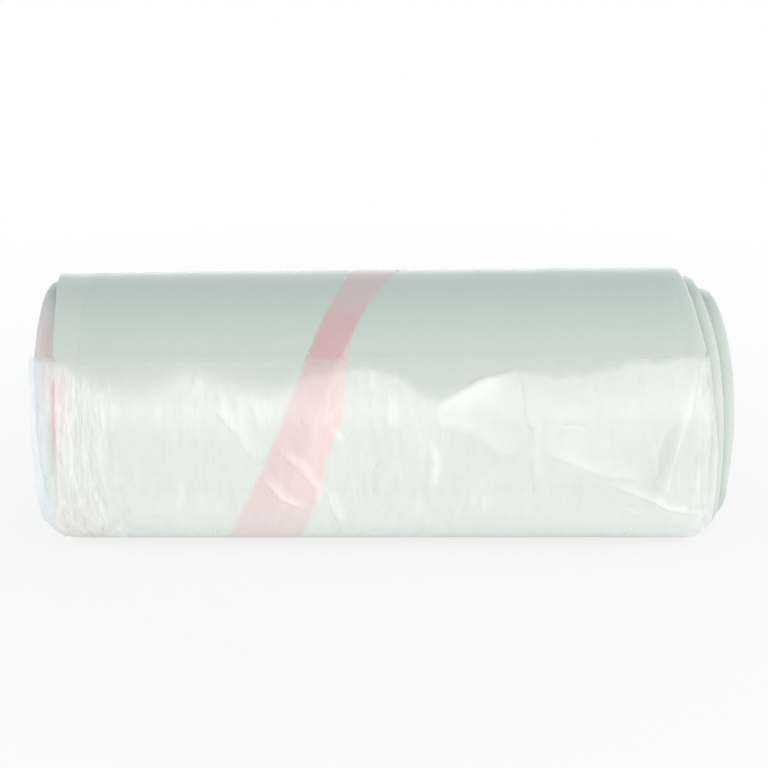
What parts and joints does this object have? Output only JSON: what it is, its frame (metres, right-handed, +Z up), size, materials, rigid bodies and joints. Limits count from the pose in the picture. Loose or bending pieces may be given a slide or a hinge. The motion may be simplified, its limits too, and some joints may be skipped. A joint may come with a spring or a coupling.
{
  "type": "roll of water-soluble laundry bags",
  "caption": "Soft coreless roll of folded translucent film laundry bags with a pink water-soluble strip slanting round it, lying on its side on a small flat spot.",
  "frame": {"origin": "middle of the flat spot that the roll lies on, at the bottom centre of its box", "axes": "+X along the roll's axis, towards its thicker end; +Z up; -Y is the front, where the web's free edge and the strip show"},
  "size_m": [0.2496, 0.1008, 0.0957],
  "materials": {
    "film": "translucent milky film in many plies, soft gloss",
    "soluble_strip": "thin pink soluble film under the outer ply"
  },
  "bodies": {
    "root": {"bag_roll": "film", "soluble_strip": "soluble_strip"}
  },
  "joints": []
}
